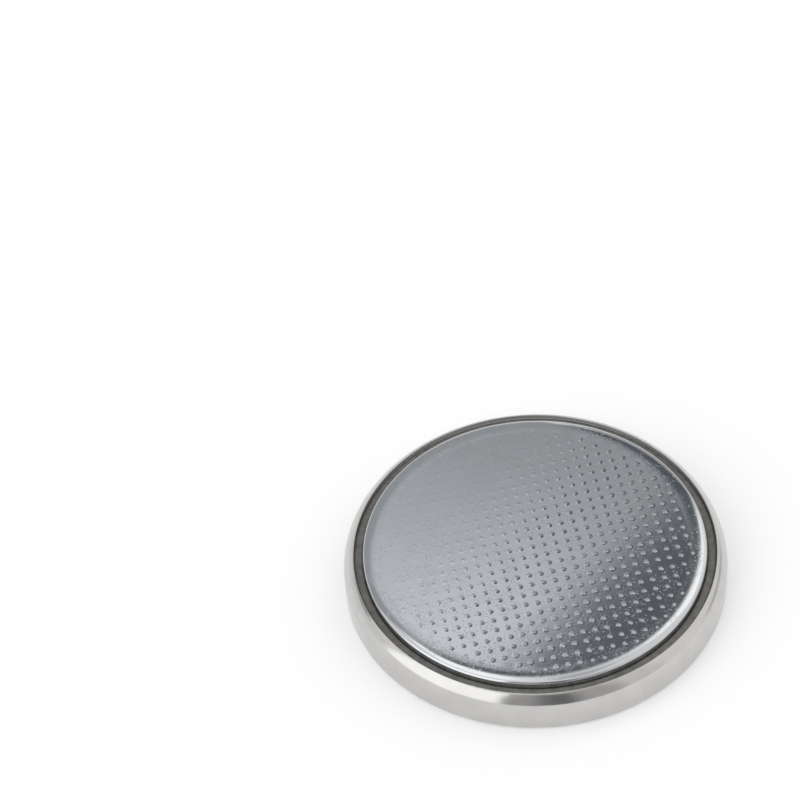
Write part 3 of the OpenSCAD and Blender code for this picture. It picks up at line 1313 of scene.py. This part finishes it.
@dataclass(frozen=True)
class Panel:
    """A soft-edged panel of light, by the directions that it fills.

    Attributes:
        azimuth: Direction of its middle, in degrees from +X towards +Y.
        spread: Half its width, in degrees.
        low: Elevation of its lower edge, in degrees.
        high: Elevation of its upper edge, in degrees.
        soft: Half width of its soft edges, in degrees.
        glow: Its light.
    """

    azimuth: float
    spread: float
    low: float
    high: float
    soft: float
    glow: Colour

    def mask(self, board: Board, x: Wire, y: Wire, lift: Wire) -> Wire:
        """1 in the panel and 0 outside it.

        The angle from the panel's middle is the inverse cosine of the product of the two
        level directions.

        Args:
            board: The tree to build in.
            x: The level direction's part along X.
            y: Its part along Y.
            lift: The elevation in radians.

        Returns:
            The panel's mask.
        """
        angles = (self.azimuth, self.spread, self.low, self.high, self.soft)
        middle, spread, low, high, soft = np.radians(angles).tolist()
        aside = (x * float(np.cos(middle)) + y * float(np.sin(middle))).arccosine()
        return (1 - aside.rise(spread - soft, spread + soft)) * lift.between(low, high, soft)


@dataclass(frozen=True)
class CeilingCard:
    """A soft-edged card on the ceiling, by its place on the level plane that the plate shows.

    Attributes:
        left: Its lower bound along X, in the plate's millimetres.
        right: Its upper bound along X.
        near: Its lower bound along Y.
        far: Its upper bound along Y.
        soft: Half width of its soft edges.
        glow: Its light.
    """

    left: float
    right: float
    near: float
    far: float
    soft: float
    glow: Colour

    def mask(self, across: Wire, along: Wire) -> Wire:
        """1 on the card and 0 off it."""
        width = across.between(self.left, self.right, self.soft)
        return width * along.between(self.near, self.far, self.soft)


@dataclass(frozen=True)
class Studio:
    """The pale floor, the painted light all round and the camera.

    The light is a function of direction only. Its ceiling is described on a level plane:
    a direction (x, y, z) meets it at (x / z, y / z), and the cap's plate shows the camera a
    small window of that plane, where a graded card ends at a narrow slate gap.

    Attributes:
        ground: Light where no panel is.
        panels: The panels, each painted over those before it.
        cards: Cards on the ceiling, painted over the panels.
        slate: Light of the gap beside the graded card.
        fade: The graded card's light, as the exponential of the first number times y plus
            the second, on the ceiling's plane, plus the third times x (y + 1).
        window: Half the part of the plane on which the third one counts, in x and y, and
            how far it reaches towards the camera.
        tones: The graded card's least and most light.
        left: Distances along X between which it dims to the left, and to what share.
        close: Distances along Y between which it dims to the camera, and to what share.
        edge: Slants between which the graded card ends and the gap starts.
        gap_end: Slants between which the gap ends.
        gap_far: Distances along Y between which it ends.
        near: Distances along Y between which card and gap start.
        overhead: Upward parts of the directions between which the ceiling starts.
        eye: Place of the camera, in millimetres.
        aim: Its rotation, in degrees about X, Y and Z.
        lens: Its focal length, in millimetres on a 36 mm sensor.
        reach: The camera's distance to the plate's image of the ceiling, in millimetres.
        floor_half: Half the floor's side, in metres.
        floor_z: Height of the floor, in millimetres.
        floor_grey: The floor's own colour.
        floor_lift: Light that the floor adds where it is seen, to be white.
    """

    ground: Colour = (0.965, 0.968, 0.97)
    panels: tuple[Panel, ...] = (
        Panel(160, 26, -5, 30, 5, (0.9, 0.905, 0.91)),
        Panel(322, 14, -5, 62, 6, (0.82, 0.82, 0.82)),
        Panel(301, 12, -5, 62, 6, (0.54, 0.54, 0.54)),
        Panel(264, 14, -5, 60, 5, (0.44, 0.44, 0.44)),
        Panel(281, 10, -5, 58, 7, (0.19, 0.19, 0.2)),
        Panel(219, 31, 0, 57, 3, (1.56, 1.57, 1.59)),
        Panel(24, 16, -5, 12, 5, (0.65, 0.65, 0.65)),
    )
    cards: tuple[CeilingCard, ...] = (
        CeilingCard(14, 58, -33, 30, 8, (1.53, 1.53, 1.52)),
        CeilingCard(62, 130, -10, 55, 10, (1.2, 1.2, 1.2)),
        CeilingCard(20, 300, 80, 500, 12, (0.45, 0.45, 0.46)),
        CeilingCard(4, 20, -82, -46, 5, (0.62, 0.62, 0.63)),
        CeilingCard(-34, -6, -80, -35, 7, (1.5, 1.5, 1.49)),
    )
    slate: Colour = (0.13, 0.145, 0.16)
    fade: tuple[float, float, float] = (-0.06, -0.34, -0.0022)
    window: tuple[float, float] = (12.0, -8.0)
    tones: tuple[float, float] = (0.45, 1.02)
    left: tuple[float, float, float] = (-42.0, -12.0, 0.5)
    close: tuple[float, float, float] = (-22.0, -9.0, 0.55)
    edge: tuple[float, float] = (2.9, 5.3)
    gap_end: tuple[float, float] = (17.0, 32.0)
    gap_far: tuple[float, float] = (60.0, 90.0)
    near: tuple[float, float] = (-46.0, -33.0)
    overhead: tuple[float, float] = (0.3, 0.42)
    eye: Colour = (0.0, -94.065, 113.262)
    aim: Colour = (43.36492, 3.218, 0.46112)
    lens: float = 125.6993
    reach: float = 110.8
    floor_half: float = 1.5
    floor_z: float = -0.004
    floor_grey: float = 0.85
    floor_lift: float = 0.25

    def ceiling(self, board: Board, x: Wire, y: Wire, z: Wire, under: Wire) -> Wire:
        """Paints the graded card, the other cards and the slate gap over the panels.

        On the ceiling's plane, in the plate's own millimetres, the graded card's light
        grows towards the camera, and is halved far to the left and near the camera. The card
        ends where the slant reaches its edge. The gap beyond ends further along the slant.

        Args:
            board: The tree to build in.
            x: The direction's part along X.
            y: Its part along Y.
            z: Its part along Z.
            under: The light behind the cards.

        Returns:
            The light with the cards and the gap.
        """
        safe = z.over(0.05)
        across = x / safe * self.reach
        along = y / safe * self.reach + self.eye[1]
        slant = across * ROWS.slant[0] - along * ROWS.slant[1]
        past = slant.over(across - ROWS.lead).rise(*self.edge)
        half, nearest = self.window
        tilt = across.over(-half).under(half) * (along.over(nearest).under(half) + 1)
        per_y, level, per_tilt = self.fade
        least, most = self.tones
        grey = (along * per_y + level + tilt * per_tilt).exponential().under(most)
        for place, (low, high, share) in ((across, self.left), (along, self.close)):
            grey = grey * (share + (1 - share) * place.rise(low, high))
        grey = grey.over(least)
        window = z.rise(*self.overhead) * along.rise(*self.near)
        card = board.joined(grey * 0.97, grey, grey * 1.03)
        light = board.mixed((1 - past) * window, under, card)
        for ceiling_card in self.cards:
            mask = ceiling_card.mask(across, along) * z.rise(*self.overhead)
            light = board.mixed(mask, light, ceiling_card.glow)
        gap = past * (1 - slant.rise(*self.gap_end)) * (1 - along.rise(*self.gap_far))
        return board.mixed(gap * window, light, self.slate)

    def paint(self) -> None:
        """Sets the world: the painted light, and plain white where the camera looks past."""
        world = bpy.data.worlds.new("studio_light")
        bpy.context.scene.world = world
        world.use_nodes = True
        board = Board(world.node_tree)
        direction = board.wire("ShaderNodeTexCoord", {}, {}, "Generated")
        x, y, z = board.split(direction)
        level = ((x * x + y * y) ** 0.5).over(0.0001)
        lift = z.arcsine()
        light: Union[Wire, Colour] = self.ground
        for panel in self.panels:
            mask = panel.mask(board, x / level, y / level, lift)
            light = board.mixed(mask, light, panel.glow)
        light = self.ceiling(board, x, y, z, light)
        lit = board.wire("ShaderNodeBackground", {}, {"Color": light, "Strength": 1.0})
        plain = board.wire("ShaderNodeBackground", {}, {"Color": (1.0, 1.0, 1.0)})
        path = board.node("ShaderNodeLightPath", {}, {})
        seen = Wire(board, path.outputs["Is Camera Ray"])
        shader = board.wire("ShaderNodeMixShader", {}, {0: seen, 1: lit, 2: plain})
        board.close(shader, "ShaderNodeOutputWorld")

    def lay_floor(self) -> None:
        """Makes the floor: one square, white where it is seen, with the cell's shadow."""
        half, low = self.floor_half, self.floor_z * MM
        corners = [(-half, -half, low), (half, -half, low), (half, half, low), (-half, half, low)]
        mesh = bpy.data.meshes.new("floor")
        mesh.from_pydata(corners, [], [(0, 1, 2, 3)])
        floor = bpy.data.objects.new("floor", mesh)
        bpy.context.scene.collection.objects.link(floor)
        made = bpy.data.materials.new("floor_white")
        made.use_nodes = True
        board = Board(made.node_tree)
        grey = (self.floor_grey,) * 3
        matt = board.wire("ShaderNodeBsdfDiffuse", {}, {"Color": grey})
        lift = board.wire("ShaderNodeEmission", {}, {"Strength": self.floor_lift})
        both = board.wire("ShaderNodeAddShader", {}, {0: matt, 1: lift})
        path = board.node("ShaderNodeLightPath", {}, {})
        rays = ("Is Camera Ray", "Is Glossy Ray", "Is Transmission Ray")
        camera, glossy, through = (Wire(board, path.outputs[name]) for name in rays)
        seen = camera.over(glossy).over(through)
        shader = board.wire("ShaderNodeMixShader", {}, {0: seen, 1: matt, 2: both})
        board.close(shader, "ShaderNodeOutputMaterial")
        mesh.materials.append(made)

    def set_camera(self) -> None:
        """Places the camera where the photograph was taken from."""
        data = bpy.data.cameras.new("camera")
        data.sensor_width = 36.0
        data.lens = self.lens
        data.clip_start, data.clip_end = 0.01, 10.0
        camera = bpy.data.objects.new("camera", data)
        camera.location = [part * MM for part in self.eye]
        camera.rotation_euler = [float(angle) for angle in np.radians(self.aim)]
        bpy.context.scene.collection.objects.link(camera)
        bpy.context.scene.camera = camera

    def set_up(self) -> None:
        """Makes the whole studio."""
        self.paint()
        self.lay_floor()
        self.set_camera()
        bpy.context.scene.view_settings.view_transform = "Standard"
        LOG.info("studio: %d panels, floor and camera", len(self.panels))


def main() -> None:
    """Builds the cell and its studio."""
    logging.basicConfig(level=logging.INFO, format="%(message)s")
    sizes = CellSizes.from_frame()
    LOG.info("sizes: %s", sizes)
    PositiveCan(sizes).build()
    SealingGasket(sizes).build()
    NegativeCap(sizes).build()
    InnerStack().dress()
    Studio().set_up()
    bpy.context.view_layer.update()


if __name__ == "__main__":
    main()
